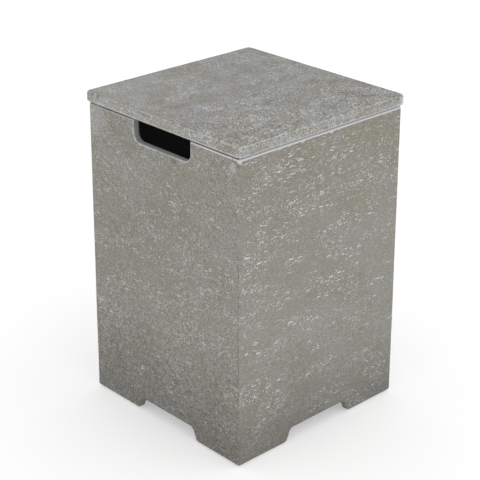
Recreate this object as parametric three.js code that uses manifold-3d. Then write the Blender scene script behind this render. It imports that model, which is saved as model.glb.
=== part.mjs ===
// Propane tank cover table: a hollow cast concrete body that stands over a gas
// cylinder, and a loose concrete slab on its rim.
// Millimetres, +Z up. The origin is on the ground, in the middle of the plan.
// +X is right, -X left, -Y front and +Y back. The handholds are left and right.
import * as THREE from 'three';
import Module from 'manifold-3d';
import { mergeVertices } from 'three/addons/utils/BufferGeometryUtils.js';

const wasm = await Module();
wasm.setup();

// Gaps and overruns
const seatGap = 0.3; // glue line or joint between two pieces that touch
const cutOverrun = 1; // how far every cut runs past the face that it opens

// Body casting: plan, height and wall
const footSide = 398;
const wallDraft = 3.3; // how far each wall leans in between foot and rim
const bodyHeight = 575;
const wallThickness = 14.5;
const bodyCornerRadius = 4;
const bodyEdgeRadius = 5;
const cavityCornerRadius = 16;

// Handholds: notches in the rim of the left and right walls
const handholdWidth = 150;
const handholdDepth = 41.5;
const handholdCornerRadius = 17;
const handholdMouthRadius = 4;

// Toe notches: one in the bottom edge of each wall
const toeNotchWidth = 150;
const toeNotchMouthWidth = 156;
const toeNotchHeight = 25;
const toeNotchCornerRadius = 12;
const toeNotchMouthRadius = 8;

// The openings of the left and right walls lie a little towards the front
const handholdShift = -1.5;
const sideToeNotchShift = -5;
const openingLip = 2.5;

// Slab
const lidOverhang = 4.3; // past the rim on every side
const lidThickness = 19.2;
const lidCornerRadius = 9;
const lidEdgeRadius = 5;

// Rubber discs: under the lid on the rim's corners, and under the feet
const padRadius = 8;
const padEdge = 0.2;
const lidPadThickness = 0.9;
const footPadThickness = 2;
const footPadInset = 1.2; // from the rounding of the foot's edge to the disc

// Round tapered bumpers under the lid, inside the corners of the rim
const locatorTopRadius = 15;
const locatorBottomRadius = 12.5;
const locatorHeight = 14;
const locatorEdge = 1.5;
const locatorWallClearance = 2;
const headWellDepth = 5;

// Screws
const shankRadius = 2.5;
const shankTip = 0.8;
const screwReach = 8; // how far the shank goes into the slab
const headRadius = 4.75;
const headHeight = 2.8;
const headDome = 0.9;
const socketAcross = 3;
const socketDepth = 1.6;

// Threaded sleeves cast into the slab
const insertLength = 10;
const insertWall = 1.7;
const insertGroove = 0.5;
const insertGrooveWidth = 1.6;
const insertFirstGroove = 2.2;
const insertSecondGroove = 6.2;

// Facets
const arcFacets = 4;
const edgeFacets = 4;
const bumperFacets = 32;
const screwFacets = 24;
const hexSides = 6;

// A rounding never takes more than this share of the corner or wall that carries it
const roundingShare = 0.85;
const lipShare = 0.25;

// Sizes and places that follow from those above
const rimSide = footSide - 2 * wallDraft;
const lidSide = rimSide + 2 * lidOverhang;
const bodyBase = footPadThickness + seatGap;
const lidBase = bodyBase + bodyHeight + seatGap + lidPadThickness + seatGap;
const draftScale = rimSide / footSide;
const holeRadius = shankRadius + seatGap;
const insertRadius = holeRadius + insertWall;
const wellRadius = headRadius + seatGap;
const bodyEdge = Math.min(bodyEdgeRadius, bodyCornerRadius * roundingShare);
const lidEdge = Math.min(lidEdgeRadius, lidCornerRadius * roundingShare);
const lip = Math.min(openingLip, wallThickness * lipShare);
const footPadPlace = footSide / 2 - bodyEdge - footPadInset - padRadius;
const lidPadPlace = rimSide / 2 - bodyEdge - padRadius;
const rimCavityHalf = (footSide / 2 - wallThickness) * draftScale;
const locatorPlace = rimCavityHalf - locatorWallClearance - Math.max(locatorTopRadius, cavityCornerRadius);

const corners = [
  { name: 'front_left', x: -1, y: -1 },
  { name: 'front_right', x: 1, y: -1 },
  { name: 'back_right', x: 1, y: 1 },
  { name: 'back_left', x: -1, y: 1 },
];

// Finishes
const concrete = () => new THREE.MeshStandardMaterial({ color: 0x96938a, roughness: 0.9, metalness: 0 });
const rubber = () => new THREE.MeshStandardMaterial({ color: 0x1d1d1e, roughness: 0.8, metalness: 0 });
const steel = () => new THREE.MeshStandardMaterial({ color: 0xa9abad, roughness: 0.35, metalness: 1 });
const brass = () => new THREE.MeshStandardMaterial({ color: 0xb08d4c, roughness: 0.4, metalness: 1 });

// A closed geometry as a solid that can be joined and cut
function toSolid(geometry) {
  const bare = geometry.clone();
  bare.deleteAttribute('normal');
  bare.deleteAttribute('uv');
  const merged = mergeVertices(bare);
  const vertProperties = merged.attributes.position.array;
  const triVerts = new Uint32Array(merged.index.array);
  return new wasm.Manifold(new wasm.Mesh({ numProp: 3, vertProperties, triVerts }));
}

function toGeometry(solid) {
  const mesh = solid.getMesh();
  const geometry = new THREE.BufferGeometry();
  geometry.setAttribute('position', new THREE.BufferAttribute(mesh.vertProperties, 3));
  geometry.setIndex(new THREE.BufferAttribute(mesh.triVerts, 1));
  return geometry;
}

// A piece cut by a list of others
function cut(geometry, cutters) {
  const solid = cutters.reduce((left, cutter) => left.subtract(toSolid(cutter)), toSolid(geometry));
  return toGeometry(solid);
}

// Square with rounded corners, centred on the axis
function roundedSquare(side, radius) {
  const half = side / 2;
  const centre = half - radius;
  const shape = new THREE.Shape();
  shape.moveTo(centre, -half);
  shape.absarc(centre, -centre, radius, -Math.PI / 2, 0, false);
  shape.absarc(centre, centre, radius, 0, Math.PI / 2, false);
  shape.absarc(-centre, centre, radius, Math.PI / 2, Math.PI, false);
  shape.absarc(-centre, -centre, radius, Math.PI, 1.5 * Math.PI, false);
  return shape;
}

// Upright block of square plan, standing on z = 0, with its top and bottom edges rounded
function roundedBlock(side, height, cornerRadius, edgeRadius) {
  const block = new THREE.ExtrudeGeometry(roundedSquare(side, cornerRadius), {
    depth: height - 2 * edgeRadius,
    bevelEnabled: true,
    bevelThickness: edgeRadius,
    bevelSize: edgeRadius,
    bevelOffset: -edgeRadius,
    bevelSegments: edgeFacets,
    curveSegments: arcFacets,
  });
  return block.translate(0, 0, edgeRadius);
}

// Ring or disc turned about the Z axis from a closed outline of [radius, height] points.
// The points go up the outside of the piece and down its inside.
function turned(points, facets) {
  const outline = points.map(([radius, height]) => new THREE.Vector2(radius, height));
  return new THREE.LatheGeometry(outline, facets).rotateX(Math.PI / 2);
}

// Disc with softened edges, its underside at z = 0
function padGeometry(thickness) {
  const flatRadius = padRadius - padEdge;
  const points = [
    [0, 0],
    [flatRadius, 0],
    [padRadius, padEdge],
    [padRadius, thickness - padEdge],
    [flatRadius, thickness],
    [0, thickness],
  ];
  return turned(points, bumperFacets);
}

// Outline of a notch that opens at y = 0 and ends at y = depth.
// Its mouth flares round the two corners of the edge, and its end has rounded corners.
function notchOutline({ mouthWidth, endWidth, depth, mouthRadius, endRadius }) {
  const mouthHalf = mouthWidth / 2;
  const endHalf = endWidth / 2;
  const flare = Math.min(mouthRadius, depth / 2);
  const round = Math.min(endRadius, depth - flare, endHalf);
  const shape = new THREE.Shape();
  shape.moveTo(-mouthHalf - flare, -cutOverrun);
  shape.lineTo(mouthHalf + flare, -cutOverrun);
  shape.lineTo(mouthHalf + flare, 0);
  shape.absarc(mouthHalf + flare, flare, flare, -Math.PI / 2, -Math.PI, true);
  shape.absarc(endHalf - round, depth - round, round, 0, Math.PI / 2, false);
  shape.absarc(-endHalf + round, depth - round, round, Math.PI / 2, Math.PI, false);
  shape.absarc(-mouthHalf - flare, flare, flare, 0, -Math.PI / 2, true);
  return shape;
}

// Cutter through the middle of a wall, with both faces' edges broken by the lip
function notchCutter(outline) {
  const growth = lip + cutOverrun;
  const depth = wallThickness - 2 * lip;
  const cutter = new THREE.ExtrudeGeometry(outline, {
    depth,
    bevelEnabled: true,
    bevelThickness: growth,
    bevelSize: -growth,
    bevelOffset: growth,
    bevelSegments: 1,
    curveSegments: arcFacets,
  });
  return cutter.translate(0, 0, -depth / 2);
}

const wallMiddle = footSide / 2 - wallThickness / 2;

// Toe notch of the wall that a quarter turn, or more of them, brings the front wall to
function toeNotchCutter(quarterTurns, shift) {
  const outline = notchOutline({
    mouthWidth: toeNotchMouthWidth,
    endWidth: toeNotchWidth,
    depth: toeNotchHeight,
    mouthRadius: toeNotchMouthRadius,
    endRadius: toeNotchCornerRadius,
  });
  const cutter = notchCutter(outline).rotateX(Math.PI / 2).translate(0, -wallMiddle, 0);
  return cutter.rotateZ(quarterTurns * Math.PI / 2).translate(0, shift, 0);
}

function handholdCutter(quarterTurns) {
  const outline = notchOutline({
    mouthWidth: handholdWidth,
    endWidth: handholdWidth,
    depth: handholdDepth,
    mouthRadius: handholdMouthRadius,
    endRadius: handholdCornerRadius,
  });
  const cutter = notchCutter(outline).rotateX(-Math.PI / 2).translate(0, -wallMiddle, bodyHeight);
  return cutter.rotateZ(quarterTurns * Math.PI / 2).translate(0, handholdShift, 0);
}

function cavityCutter() {
  const cavitySide = footSide - 2 * wallThickness;
  const cavity = new THREE.ExtrudeGeometry(roundedSquare(cavitySide, cavityCornerRadius), {
    depth: bodyHeight + 2 * cutOverrun,
    bevelEnabled: false,
    curveSegments: arcFacets,
  });
  return cavity.translate(0, 0, -cutOverrun);
}

// Draw the walls in towards the rim, so that the casting leaves its mould
function drafted(geometry) {
  const position = geometry.attributes.position;
  for (let i = 0; i < position.count; i += 1) {
    const height = position.getZ(i) / bodyHeight;
    const scale = 1 + (draftScale - 1) * height;
    position.setX(i, position.getX(i) * scale);
    position.setY(i, position.getY(i) * scale);
  }
  return geometry;
}

function bodyGeometry() {
  const block = roundedBlock(footSide, bodyHeight, bodyCornerRadius, bodyEdge);
  const cutters = [
    cavityCutter(),
    toeNotchCutter(0, 0),
    toeNotchCutter(1, sideToeNotchShift),
    toeNotchCutter(2, 0),
    toeNotchCutter(3, sideToeNotchShift),
    handholdCutter(1),
    handholdCutter(3),
  ];
  return drafted(cut(block, cutters));
}

// Blind hole for a threaded sleeve, from the slab's underside at z = 0
function insertHole(corner) {
  const depth = insertLength + 2 * seatGap;
  const length = depth + cutOverrun;
  const hole = new THREE.CylinderGeometry(insertRadius + seatGap, insertRadius + seatGap, length, screwFacets);
  hole.rotateX(Math.PI / 2);
  return hole.translate(corner.x * locatorPlace, corner.y * locatorPlace, depth - length / 2);
}

function lidGeometry() {
  const slab = roundedBlock(lidSide, lidThickness, lidCornerRadius, lidEdge);
  return cut(slab, corners.map(insertHole));
}

// Bumper with its top face at z = 0, a screw hole and a well for the screw's head
function locatorGeometry() {
  const bottom = -locatorHeight;
  const well = bottom + headWellDepth;
  const points = [
    [holeRadius, well],
    [wellRadius, well],
    [wellRadius, bottom],
    [locatorBottomRadius - locatorEdge, bottom],
    [locatorBottomRadius, bottom + locatorEdge],
    [locatorTopRadius, 0],
    [holeRadius, 0],
    [holeRadius, well],
  ];
  return turned(points, bumperFacets);
}

// Screw with the underside of its head at z = 0 and its shank upwards
function screwGeometry() {
  const shankTop = locatorHeight - headWellDepth + 2 * seatGap + screwReach;
  const points = [
    [0, -headHeight],
    [headRadius - headDome, -headHeight],
    [headRadius, -headHeight + headDome],
    [headRadius, 0],
    [shankRadius, 0],
    [shankRadius, shankTop - shankTip],
    [shankRadius - shankTip, shankTop],
    [0, shankTop],
  ];
  const socketRadius = socketAcross / Math.sqrt(3);
  const socketLength = socketDepth + cutOverrun;
  const socket = new THREE.CylinderGeometry(socketRadius, socketRadius, socketLength, hexSides);
  socket.rotateX(Math.PI / 2).translate(0, 0, -headHeight + socketDepth - socketLength / 2);
  return cut(turned(points, screwFacets), [socket]);
}

// Threaded sleeve with its mouth at z = 0, held in the concrete by two grooves
function insertGeometry() {
  const waist = insertRadius - insertGroove;
  const groove = (start) => [
    [insertRadius, start],
    [waist, start],
    [waist, start + insertGrooveWidth],
    [insertRadius, start + insertGrooveWidth],
  ];
  const points = [
    [holeRadius, 0],
    [insertRadius, 0],
    ...groove(insertFirstGroove),
    ...groove(insertSecondGroove),
    [insertRadius, insertLength],
    [holeRadius, insertLength],
    [holeRadius, 0],
  ];
  return turned(points, screwFacets);
}

function piece(name, geometry, material, x, y, z) {
  const mesh = new THREE.Mesh(geometry, material);
  mesh.name = name;
  mesh.position.set(x, y, z);
  return mesh;
}

// Body: the casting and the rubber discs under its feet
const body = new THREE.Group();
body.add(piece('body_shell', bodyGeometry(), concrete(), 0, 0, bodyBase));
for (const corner of corners) {
  const x = corner.x * footPadPlace;
  const y = corner.y * footPadPlace;
  body.add(piece(`foot_pad_${corner.name}`, padGeometry(footPadThickness), rubber(), x, y, 0));
}

// Lid: the slab and what is fixed under it, measured from the slab's underside
const lid = new THREE.Group();
lid.position.z = lidBase;
lid.add(piece('lid_slab', lidGeometry(), concrete(), 0, 0, 0));
for (const corner of corners) {
  const padX = corner.x * lidPadPlace;
  const padY = corner.y * lidPadPlace;
  const padZ = -seatGap - lidPadThickness;
  const x = corner.x * locatorPlace;
  const y = corner.y * locatorPlace;
  const screwZ = -2 * seatGap - locatorHeight + headWellDepth;
  lid.add(piece(`lid_pad_${corner.name}`, padGeometry(lidPadThickness), rubber(), padX, padY, padZ));
  lid.add(piece(`lid_locator_${corner.name}`, locatorGeometry(), rubber(), x, y, -seatGap));
  lid.add(piece(`locator_screw_${corner.name}`, screwGeometry(), steel(), x, y, screwZ));
  lid.add(piece(`lid_insert_${corner.name}`, insertGeometry(), brass(), x, y, seatGap));
}

const tankCover = new THREE.Group();
tankCover.add(body, lid);

export default tankCover;
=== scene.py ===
# Looks of a table that covers a gas cylinder: a hollow cast concrete body and a loose slab.
# Metres, +Z up. -Y is the front, and the walls at -X and +X have the handholds.
import math

import bmesh
import bpy
from mathutils import Matrix, Vector, noise
from mathutils.kdtree import KDTree


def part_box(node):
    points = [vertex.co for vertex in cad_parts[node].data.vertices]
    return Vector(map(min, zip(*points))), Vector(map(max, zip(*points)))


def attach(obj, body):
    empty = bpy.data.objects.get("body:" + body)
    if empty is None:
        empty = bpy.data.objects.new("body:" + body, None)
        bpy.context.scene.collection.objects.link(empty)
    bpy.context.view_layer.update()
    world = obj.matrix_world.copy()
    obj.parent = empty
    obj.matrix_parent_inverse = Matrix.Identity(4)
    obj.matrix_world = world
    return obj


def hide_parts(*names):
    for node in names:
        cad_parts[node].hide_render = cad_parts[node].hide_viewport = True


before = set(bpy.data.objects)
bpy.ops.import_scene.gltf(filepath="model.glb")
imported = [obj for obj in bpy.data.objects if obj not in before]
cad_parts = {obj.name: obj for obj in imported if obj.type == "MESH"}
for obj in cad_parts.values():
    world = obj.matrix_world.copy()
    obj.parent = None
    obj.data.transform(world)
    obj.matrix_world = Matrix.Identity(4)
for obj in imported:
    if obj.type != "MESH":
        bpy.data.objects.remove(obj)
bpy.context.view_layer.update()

MM = 0.001
BODY_LOW, BODY_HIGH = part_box("body_shell")
SLAB_LOW, SLAB_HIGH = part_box("lid_slab")
CORNERS = ("front_left", "front_right", "back_right", "back_left")

# Body casting
BODY_HEIGHT = BODY_HIGH.z - BODY_LOW.z
FOOT_SIDE = BODY_HIGH.x - BODY_LOW.x
WALL_DRAFT = 3.3 * MM
RIM_SHARE = 1 - 2 * WALL_DRAFT / FOOT_SIDE
WALL = 14.5 * MM
WALL_MIDDLE = FOOT_SIDE / 2 - WALL / 2
CAVITY_RADIUS = 16 * MM
HANDHOLD_SHIFT = -1.5 * MM
SIDE_TOE_NOTCH_SHIFT = -5 * MM
HANDHOLD = {
    "mouth": 150 * MM,
    "end": 150 * MM,
    "depth": 41.5 * MM,
    "mouth_radius": 0,
    "end_radius": 17 * MM,
}
TOE_NOTCH = {
    "mouth": 156 * MM,
    "end": 150 * MM,
    "depth": 25 * MM,
    "mouth_radius": 8 * MM,
    "end_radius": 12 * MM,
}
OVERRUN = 10 * MM

# How far each kind of edge is rounded
RIM_EDGE = 5 * MM
FOOT_EDGE = 4.5 * MM
CORNER_EDGE = 4 * MM
LIP_EDGE = 3 * MM
MOUTH_EDGE = 4 * MM
INNER_EDGE = 3 * MM
SHARP_ANGLE = math.radians(30)
FLAT_ANGLE = math.radians(1)
ROUND_SEGMENTS = 5
ARC_SEGMENTS = 8

# Slab
SLAB_CORNER = 9 * MM
SLAB_TOP_EDGE = 4 * MM
SLAB_LOW_EDGE = 3 * MM
SLEEVE_GAP = 0.3 * MM
SLEEVE_FACETS = 32

# Rubber discs
DISC_EDGE = 0.2 * MM
FOOT_DISC_EDGE = 0.5 * MM
DISC_GROOVE = (0.45, 0.6)
DISC_GROOVE_DEPTH = 0.25 * MM

# Bumpers under the slab
BUMPER_BOTTOM_RADIUS = 12.5 * MM
BUMPER_HOLE = 2.8 * MM
BUMPER_WELL = 5.05 * MM
BUMPER_WELL_DEPTH = 5 * MM
BUMPER_EDGE = 1.8 * MM
BUMPER_GROOVES = (0.3, 0.55)
BUMPER_GROOVE_DEPTH = 0.5 * MM
BUMPER_GROOVE_WIDTH = 1.1 * MM

# Screws of the bumpers
SCREW_HEAD_HEIGHT = 2.8 * MM
SCREW_DOME = 1.3 * MM
SCREW_RADIUS = 2.5 * MM
SCREW_ROOT = 2.15 * MM
SCREW_PITCH = 0.8 * MM
SCREW_SOCKET = 1.73 * MM
SCREW_SOCKET_DEPTH = 1.6 * MM
SCREW_TURN_SEED = 5

# Meshes
WALL_PITCH = 5 * MM
INNER_PITCH = 10 * MM
SLAB_PITCH = 2.5 * MM
SLAB_UNDER_PITCH = 10 * MM
ARRIS_STEP = 2 * MM
TURNED_FACETS = 48
SOFT_SEGMENTS = 4
WELD = MM / 100
NEAR = MM / 2
LEVEL_NORMAL = 0.9

# Unevenness of the castings: height and length of each wave
BODY_WAVES = ((0.35 * MM, 110 * MM), (0.13 * MM, 17 * MM))
INNER_WAVES = ((0.9 * MM, 50 * MM), (0.35 * MM, 13 * MM))
SLAB_WAVES = ((0.3 * MM, 120 * MM), (0.16 * MM, 12 * MM), (0.1 * MM, 5.5 * MM))
SLAB_UNDER_WAVES = ((0.3 * MM, 120 * MM), (0.3 * MM, 20 * MM))

# Hollows in the castings: depth, length, the value of the noise where they start, and its offset
BODY_PITS = (0.6 * MM, 10.5 * MM, 0.42, (7, 3, 5))
BODY_NICKS = (0.15 * MM, 8.5 * MM, 0.15, (1, 9, 4))
SLAB_PITS = (0.7 * MM, 9 * MM, 0.4, (2, 8, 5))
SLAB_NICKS = (0.35 * MM, 9 * MM, 0.1, (6, 1, 3))
NICK_REACH = 7 * MM


# Outlines and solids

def arc(x, y, radius, start, end, segments=ARC_SEGMENTS):
    """Points of an arc from one angle to the other, in degrees, both ends included."""
    if radius == 0:
        return [(x, y)]
    angles = [math.radians(start + (end - start) * i / segments) for i in range(segments + 1)]
    return [(x + radius * math.cos(a), y + radius * math.sin(a)) for a in angles]


def rounded_square(side, radius):
    centre = side / 2 - radius
    corners = ((centre, -centre, -90), (centre, centre, 0), (-centre, centre, 90), (-centre, -centre, 180))
    return [point for x, y, start in corners for point in arc(x, y, radius, start, start + 90)]


def polygon(sides, radius):
    angles = [math.tau * i / sides for i in range(sides)]
    return [(radius * math.cos(a), radius * math.sin(a)) for a in angles]


def notch_outline(mouth, end, depth, mouth_radius, end_radius):
    """Outline that opens at y = 0, flares at its mouth and has rounded inner corners."""
    outer = mouth / 2 + mouth_radius
    inner = end / 2 - end_radius
    return [
        (-outer, -OVERRUN),
        (outer, -OVERRUN),
        *arc(outer, mouth_radius, mouth_radius, -90, -180),
        *arc(inner, depth - end_radius, end_radius, 0, 90),
        *arc(-inner, depth - end_radius, end_radius, 90, 180),
        *arc(-outer, mouth_radius, mouth_radius, 0, -90),
    ]


def prism(outline, low, high):
    """Closed bmesh of an outline, between two heights."""
    bm = bmesh.new()
    face = bm.faces.new([bm.verts.new((x, y, low)) for x, y in outline])
    grown = bmesh.ops.extrude_face_region(bm, geom=[face])
    top = [v for v in grown["geom"] if isinstance(v, bmesh.types.BMVert)]
    bmesh.ops.translate(bm, verts=top, vec=(0, 0, high - low))
    bmesh.ops.recalc_face_normals(bm, faces=bm.faces)
    return bm


def softened(profile):
    """Profile of [radius, height, rounding] points with each corner rounded."""
    points = []
    for index, (radius, height, rounding) in enumerate(profile):
        corner = Vector((radius, height))
        if rounding == 0:
            points.append(corner)
            continue
        before = Vector(profile[index - 1][:2])
        after = Vector(profile[(index + 1) % len(profile)][:2])
        start = corner + (before - corner).normalized() * rounding
        end = corner + (after - corner).normalized() * rounding
        for step in range(SOFT_SEGMENTS + 1):
            t = step / SOFT_SEGMENTS
            points.append(start.lerp(corner, t).lerp(corner.lerp(end, t), t))
    return points


def turned(profile):
    """Solid turned about Z from a profile that starts and ends on the axis, or is a closed ring."""
    points = softened(profile)
    bm = bmesh.new()
    verts = [bm.verts.new((point.x, 0, point.y)) for point in points]
    pairs = list(zip(verts, verts[1:]))
    if points[0].x > 0:
        pairs.append((verts[-1], verts[0]))
    edges = [bm.edges.new(pair) for pair in pairs]
    geom = [*verts, *edges]
    bmesh.ops.spin(bm, geom=geom, cent=(0, 0, 0), axis=(0, 0, 1), angle=math.tau, steps=TURNED_FACETS)
    bmesh.ops.remove_doubles(bm, verts=bm.verts, dist=WELD)
    bmesh.ops.recalc_face_normals(bm, faces=bm.faces)
    return bm


def as_object(bm, name):
    mesh = bpy.data.meshes.new(name)
    bm.to_mesh(mesh)
    bm.free()
    obj = bpy.data.objects.new(name, mesh)
    bpy.context.scene.collection.objects.link(obj)
    return obj


def baked(obj, name):
    """Plain mesh object of what the modifiers of another make of it, which is then removed."""
    evaluated = obj.evaluated_get(bpy.context.evaluated_depsgraph_get())
    mesh = bpy.data.meshes.new_from_object(evaluated)
    mesh.name = name
    bpy.data.objects.remove(obj)
    result = bpy.data.objects.new(name, mesh)
    bpy.context.scene.collection.objects.link(result)
    return result


def carved(solid, cutters, name):
    """The solid cut by each of the others."""
    for cutter in cutters:
        modifier = solid.modifiers.new("cut", "BOOLEAN")
        modifier.operation = "DIFFERENCE"
        modifier.solver = "EXACT"
        modifier.object = cutter
    result = baked(solid, name)
    for cutter in cutters:
        bpy.data.objects.remove(cutter)
    return result


def rounded_edges(obj, width_of, largest, name):
    """Round each sharp edge to its own width, and give the arris lines as points too."""
    bm = bmesh.new()
    bm.from_mesh(obj.data)
    bmesh.ops.remove_doubles(bm, verts=bm.verts, dist=WELD)
    bmesh.ops.dissolve_limit(bm, angle_limit=FLAT_ANGLE, verts=bm.verts, edges=bm.edges)
    weights = bm.edges.layers.float.new("bevel_weight_edge")
    arrises = []
    for edge in bm.edges:
        if edge.calc_face_angle(0) < SHARP_ANGLE:
            continue
        ends = [v.co.copy() for v in edge.verts]
        width, outer = width_of((ends[0] + ends[1]) / 2)
        edge[weights] = width / largest
        if outer:
            arrises.append(ends)
    bm.to_mesh(obj.data)
    bm.free()
    modifier = obj.modifiers.new("round", "BEVEL")
    modifier.limit_method = "WEIGHT"
    modifier.width = largest
    modifier.segments = ROUND_SEGMENTS
    modifier.use_clamp_overlap = False
    return baked(obj, name), arrises


def slice_between(bm, faces, axis, places):
    """Cut the faces across an axis at each place, halving the list of places each time."""
    if not places or not faces:
        return
    half = len(places) // 2
    place = places[half]
    point = Vector((0, 0, 0))
    point[axis] = place
    normal = Vector((0, 0, 0))
    normal[axis] = 1
    edges = {e for f in faces for e in f.edges}
    verts = {v for f in faces for v in f.verts}
    geom = [*verts, *edges, *faces]
    cut = bmesh.ops.bisect_plane(bm, geom=geom, plane_co=point, plane_no=normal, dist=WELD)
    low, high = [], []
    for face in {f for f in cut["geom"] if isinstance(f, bmesh.types.BMFace)}:
        side = low if face.calc_center_bounds()[axis] < place else high
        side.append(face)
    slice_between(bm, low, axis, places[:half])
    slice_between(bm, high, axis, places[half + 1:])


def grid_places(low, high, pitch):
    count = max(1, round((high - low) / pitch))
    return [low + (high - low) * i / count for i in range(1, count)]


def gridded(bm, chosen, low, high, pitch, axes):
    """Cut the chosen faces into a grid of about the pitch."""
    for axis in axes:
        faces = [f for f in bm.faces if chosen(f)]
        slice_between(bm, faces, axis, grid_places(low[axis], high[axis], pitch))


def arris_distances(bm, arrises):
    """Distance of every vertex from the nearest arris line, as an attribute."""
    points = []
    for start, end in arrises:
        count = max(1, math.ceil((end - start).length / ARRIS_STEP))
        points += [start.lerp(end, i / count) for i in range(count + 1)]
    tree = KDTree(len(points))
    for index, point in enumerate(points):
        tree.insert(point, index)
    tree.balance()
    layer = bm.verts.layers.float.new("arris_distance")
    for vertex in bm.verts:
        vertex[layer] = tree.find(vertex.co)[2]
    return layer


def waves(place, kinds):
    return sum(height * noise.noise(place / length) for height, length in kinds)


def hollow(place, depth, length, start, offset):
    return depth * max(0, noise.noise(place / length + Vector(offset)) - start)


def finish_mesh(bm, obj):
    for face in bm.faces:
        face.smooth = True
    bm.to_mesh(obj.data)
    bm.free()


# Body casting

def toe_notch_cutter(quarter_turns, shift):
    bm = prism(notch_outline(**TOE_NOTCH), -WALL, WALL)
    bm.transform(
        Matrix.Translation((0, shift, 0))
        @ Matrix.Rotation(math.radians(90 * quarter_turns), 4, "Z")
        @ Matrix.Translation((0, -WALL_MIDDLE, 0))
        @ Matrix.Rotation(math.radians(90), 4, "X")
    )
    return as_object(bm, "toe_cutter")


def handhold_cutter(quarter_turns):
    bm = prism(notch_outline(**HANDHOLD), -WALL, WALL)
    bm.transform(
        Matrix.Translation((0, HANDHOLD_SHIFT, BODY_HEIGHT))
        @ Matrix.Rotation(math.radians(90 * quarter_turns), 4, "Z")
        @ Matrix.Translation((0, -WALL_MIDDLE, 0))
        @ Matrix.Rotation(math.radians(-90), 4, "X")
    )
    return as_object(bm, "handhold_cutter")


def body_edge_width(place):
    """Rounding of the body's edge at a place, and whether it is on the outside."""
    half = FOOT_SIDE / 2
    x, y = abs(place.x), abs(place.y)
    near_face = abs(max(x, y) - half) < NEAR
    on_top = BODY_HEIGHT - place.z < NEAR
    if not near_face:
        across = on_top and half - WALL + MM < max(x, y)
        return (MOUTH_EDGE, True) if across else (INNER_EDGE, False)
    if abs(min(x, y) - half) < NEAR:
        return CORNER_EDGE, True
    if on_top:
        return RIM_EDGE, True
    rise = min(1, place.z / TOE_NOTCH["mouth_radius"])
    return FOOT_EDGE + (LIP_EDGE - FOOT_EDGE) * rise, True


def on_outside(face):
    centre = face.calc_center_median()
    return max(abs(centre.x), abs(centre.y)) > WALL_MIDDLE


def body_relief(place, inside, arris):
    """How far the body's surface stands out from its flat shape at a place."""
    if inside:
        return waves(place, INNER_WAVES)
    near = max(0, 1 - arris / NICK_REACH)
    return waves(place, BODY_WAVES) - hollow(place, *BODY_PITS) - hollow(place, *BODY_NICKS) * near


def body_cast():
    block = as_object(prism(rounded_square(FOOT_SIDE, 0), 0, BODY_HEIGHT), "block")
    cavity_side = FOOT_SIDE - 2 * WALL
    cavity = prism(rounded_square(cavity_side, CAVITY_RADIUS), -OVERRUN, BODY_HEIGHT + OVERRUN)
    cutters = [
        toe_notch_cutter(0, 0),
        toe_notch_cutter(1, SIDE_TOE_NOTCH_SHIFT),
        toe_notch_cutter(2, 0),
        toe_notch_cutter(3, SIDE_TOE_NOTCH_SHIFT),
        handhold_cutter(1),
        handhold_cutter(3),
        as_object(cavity, "cavity"),
    ]
    shell = carved(block, cutters, "shell")
    shell, arrises = rounded_edges(shell, body_edge_width, RIM_EDGE, "body_cast")
    bm = bmesh.new()
    bm.from_mesh(shell.data)
    low = Vector((-FOOT_SIDE / 2, -FOOT_SIDE / 2, 0))
    high = Vector((FOOT_SIDE / 2, FOOT_SIDE / 2, BODY_HEIGHT))
    for axes in ((0, 1), (2,)):
        gridded(bm, lambda face: True, low, high, INNER_PITCH, axes)
        gridded(bm, on_outside, low, high, WALL_PITCH, axes)
    arris = arris_distances(bm, arrises)
    inner = bm.verts.layers.float.new("inner_face")
    bm.normal_update()
    moves = []
    for vertex in bm.verts:
        place = vertex.co
        inside = max(abs(place.x), abs(place.y)) < FOOT_SIDE / 2 - WALL + INNER_EDGE / 2
        vertex[inner] = inside
        at_end = place.z < MM or BODY_HEIGHT - place.z < MM
        flat_end = at_end and abs(vertex.normal.z) > LEVEL_NORMAL
        relief = body_relief(place, inside, vertex[arris])
        moves.append(vertex.normal * (min(0, relief) if flat_end else relief))
    for vertex, move in zip(bm.verts, moves):
        vertex.co += move
        share = 1 + (RIM_SHARE - 1) * vertex.co.z / BODY_HEIGHT
        vertex.co.x *= share
        vertex.co.y *= share
        vertex.co.z += BODY_LOW.z
    finish_mesh(bm, shell)
    return shell


# Slab

def slab_relief(place, under, arris):
    """How far the slab's surface stands out from its flat shape at a place."""
    if under:
        return min(0, waves(place, SLAB_UNDER_WAVES))
    near = max(0, 1 - arris / NICK_REACH)
    return waves(place, SLAB_WAVES) - hollow(place, *SLAB_PITS) - hollow(place, *SLAB_NICKS) * near


def sleeve_hole(corner):
    """Cutter for the hole of a threaded sleeve, from the slab's underside at z = 0."""
    low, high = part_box("lid_insert_" + corner)
    middle = (low + high) / 2
    radius = (high.x - low.x) / 2 + SLEEVE_GAP
    bm = prism(polygon(SLEEVE_FACETS, radius), -OVERRUN, high.z + SLEEVE_GAP - SLAB_LOW.z)
    bm.transform(Matrix.Translation((middle.x, middle.y, 0)))
    return as_object(bm, "sleeve_cutter")


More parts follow.
